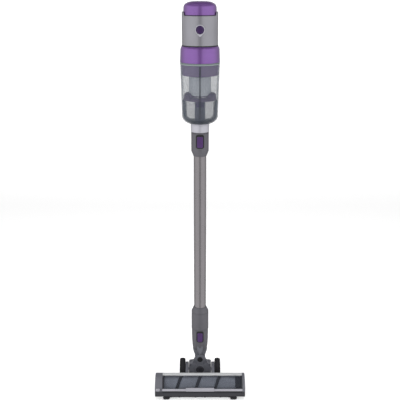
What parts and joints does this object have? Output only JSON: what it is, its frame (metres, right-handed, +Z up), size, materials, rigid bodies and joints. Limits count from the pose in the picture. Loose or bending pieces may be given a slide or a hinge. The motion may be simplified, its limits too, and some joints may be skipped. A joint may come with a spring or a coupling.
{
  "type": "cordless stick vacuum",
  "caption": "Cordless stick vacuum with powered brush head, steering joint, plug-in wand, clear cyclone bin and loop handle with battery.",
  "frame": {"origin": "on the floor under the middle of the whole vacuum as it stands parked", "axes": "+X to the right seen from the front, +Y to the rear, +Z up; the pole leans 4 degrees towards -Y"},
  "size_m": [0.262, 0.2167, 1.1209],
  "materials": {
    "silver_paint": "satin metallic silver paint",
    "purple_paint": "metallic purple lacquer",
    "dark_purple": "satin dark purple plastic",
    "smoke": "clear smoke-tinted plastic",
    "light_smoke": "pale translucent plastic",
    "mesh_steel": "finely perforated steel sheet",
    "charcoal": "fine-grained matt plastic",
    "grey": "fine-grained satin plastic",
    "sleeve": "satin grey plastic",
    "tube": "champagne-grey anodised",
    "steel": "turned",
    "rubber": "matt",
    "pile": "short soft nap",
    "bristle": "stiff bristle tufts",
    "filter": "filter fleece",
    "copper": "enamelled winding",
    "board": "circuit board",
    "cells": "shrink wrap"
  },
  "bodies": {
    "head": {"head_base": "charcoal", "brush_window": "smoke", "window_rail": "light_smoke", "rear_cover": "grey", "front_trim": "silver_paint", "right_end_cap": "grey", "brush_motor": "steel", "drive_belt": "rubber", "wheel_axle": "steel"},
    "end_cap": {"left_end_cap": "grey"},
    "end_cap_latch": {"end_cap_latch": "steel"},
    "brush": {"brush_core": "charcoal", "brush_pile": "pile", "bristle_strip": "bristle", "brush_bearing": "steel"},
    "brush_pulley": {"brush_pulley": "charcoal"},
    "motor_pulley": {"motor_pulley": "steel"},
    "wheel_left": {"wheel_tyre_left": "rubber", "wheel_hub_left": "charcoal"},
    "wheel_right": {"wheel_tyre_right": "rubber", "wheel_hub_right": "charcoal"},
    "roller_left": {"front_roller_left": "rubber"},
    "roller_right": {"front_roller_right": "rubber"},
    "carriage": {"carriage": "grey", "swivel_pin": "steel", "carriage_cap": "charcoal"},
    "elbow": {"elbow": "sleeve"},
    "neck_button": {"neck_button": "dark_purple"},
    "wand": {"wand_tube": "tube", "wand_lower_sleeve": "sleeve", "wand_upper_sleeve": "sleeve"},
    "wand_button": {"wand_button": "dark_purple"},
    "bin": {"dust_bin": "smoke", "inlet_nozzle": "silver_paint", "inlet_duct": "charcoal"},
    "duct_flap": {"duct_flap": "dark_purple"},
    "unit": {"bin_ring": "purple_paint", "bin_seal": "rubber", "pre_filter": "filter", "motor_mount": "rubber", "motor_can": "steel", "motor_winding": "copper", "body_front": "silver_paint", "body_rear": "silver_paint", "button_bezel": "silver_paint", "circuit_board": "board", "handle": "charcoal"},
    "cyclone": {"cyclone_collar": "dark_purple", "cyclone_screen": "mesh_steel", "cyclone_skirt": "charcoal", "cyclone_cone": "charcoal"},
    "release_button": {"bin_release_button": "dark_purple"},
    "motor_rotor": {"motor_rotor": "tube"},
    "top_cap": {"top_cap": "purple_paint", "exhaust_filter": "filter"},
    "trigger": {"trigger": "purple_paint"},
    "mode_button": {"mode_button": "purple_paint"},
    "battery": {"battery_case": "charcoal", "battery_cells": "cells"},
    "battery_latch": {"battery_latch": "purple_paint"}
  },
  "joints": [
    {"name": "pole_tilt", "type": "hinge", "parent": "head", "child": "carriage", "pos_m": [0, 0.0278, 0.033], "axis": [-1, 0, 0], "range_deg": [0, 80]},
    {"name": "pole_swivel", "type": "hinge", "parent": "carriage", "child": "elbow", "pos_m": [0, 0.0178, 0.08], "axis": [0, 0.9976, 0.0698], "range_deg": [-55, 55]},
    {"name": "wheel_left_spin", "type": "hinge", "parent": "head", "child": "wheel_left", "pos_m": [-0.0535, 0.0278, 0.033], "axis": [1, 0, 0], "continuous": true},
    {"name": "wheel_right_spin", "type": "hinge", "parent": "head", "child": "wheel_right", "pos_m": [0.0535, 0.0278, 0.033], "axis": [1, 0, 0], "continuous": true},
    {"name": "roller_left_spin", "type": "hinge", "parent": "head", "child": "roller_left", "pos_m": [-0.098, -0.0957, 0.006], "axis": [1, 0, 0], "continuous": true},
    {"name": "roller_right_spin", "type": "hinge", "parent": "head", "child": "roller_right", "pos_m": [0.098, -0.0957, 0.006], "axis": [1, 0, 0], "continuous": true},
    {"name": "end_cap_pull", "type": "slide", "parent": "head", "child": "end_cap", "axis": [-1, 0, 0], "range_m": [0, 0.24]},
    {"name": "end_cap_latch_slide", "type": "slide", "parent": "end_cap", "child": "end_cap_latch", "axis": [1, 0, 0], "range_m": [0, 0.005]},
    {"name": "brush_spin", "type": "hinge", "parent": "end_cap", "child": "brush", "pos_m": [0, -0.0672, 0.0315], "axis": [1, 0, 0], "continuous": true},
    {"name": "brush_pulley_spin", "type": "hinge", "parent": "head", "child": "brush_pulley", "pos_m": [0, -0.0672, 0.0315], "axis": [1, 0, 0], "continuous": true},
    {"name": "motor_pulley_spin", "type": "hinge", "parent": "head", "child": "motor_pulley", "pos_m": [0.11, -0.023, 0.0245], "axis": [1, 0, 0], "continuous": true},
    {"name": "neck_button_press", "type": "slide", "parent": "elbow", "child": "neck_button", "axis": [0, 0.9976, 0.0698], "range_m": [0, 0.0025], "stiffness_N_per_m": 400, "springref_m": -0.001},
    {"name": "wand_pull", "type": "slide", "parent": "elbow", "child": "wand", "axis": [0, -0.0698, 0.9976], "range_m": [0, 0.06]},
    {"name": "wand_button_press", "type": "slide", "parent": "wand", "child": "wand_button", "axis": [0, 0.9976, 0.0698], "range_m": [0, 0.0025], "stiffness_N_per_m": 400, "springref_m": -0.001},
    {"name": "hand_unit_pull", "type": "slide", "parent": "wand", "child": "bin", "axis": [0, -0.0698, 0.9976], "range_m": [0, 0.06]},
    {"name": "duct_flap_swing", "type": "hinge", "parent": "bin", "child": "duct_flap", "pos_m": [0, -0.05312, 0.86196], "axis": [-1, 0, 0], "range_deg": [0, 30], "stiffness_Nm_per_rad": 0.01, "springref_deg": -5.73},
    {"name": "cyclone_removal", "type": "slide", "parent": "bin", "child": "cyclone", "axis": [0, -0.0698, 0.9976], "range_m": [0, 0.11]},
    {"name": "bin_release", "type": "slide", "parent": "cyclone", "child": "unit", "axis": [0, -0.0698, 0.9976], "range_m": [0, 0.11]},
    {"name": "release_button_press", "type": "slide", "parent": "unit", "child": "release_button", "axis": [0, 0.9976, 0.0698], "range_m": [0, 0.0025], "stiffness_N_per_m": 400, "springref_m": -0.001},
    {"name": "motor_spin", "type": "hinge", "parent": "unit", "child": "motor_rotor", "pos_m": [0, -0.04917, 1.03766], "axis": [0, -0.0698, 0.9976], "continuous": true},
    {"name": "top_cap_twist", "type": "hinge", "parent": "unit", "child": "top_cap", "pos_m": [0, -0.05265, 1.08754], "axis": [0, -0.0698, 0.9976], "range_deg": [0, 30]},
    {"name": "trigger_pull", "type": "slide", "parent": "unit", "child": "trigger", "axis": [0, 0.9976, 0.0698], "range_m": [0, 0.005], "stiffness_N_per_m": 300, "springref_m": -0.001},
    {"name": "mode_button_press", "type": "slide", "parent": "unit", "child": "mode_button", "axis": [0, 0.0698, -0.9976], "range_m": [0, 0.0015], "stiffness_N_per_m": 400, "springref_m": -0.001},
    {"name": "battery_removal", "type": "slide", "parent": "unit", "child": "battery", "axis": [0, 0.0698, -0.9976], "range_m": [0, 0.07]},
    {"name": "battery_latch_press", "type": "slide", "parent": "battery", "child": "battery_latch", "axis": [0, -0.9976, -0.0698], "range_m": [0, 0.0015], "stiffness_N_per_m": 400, "springref_m": -0.001}
  ],
  "couplings": [
    {"joint": "brush_pulley_spin", "follows": "brush_spin", "ratio": 1},
    {"joint": "motor_pulley_spin", "follows": "brush_spin", "ratio": 2}
  ]
}
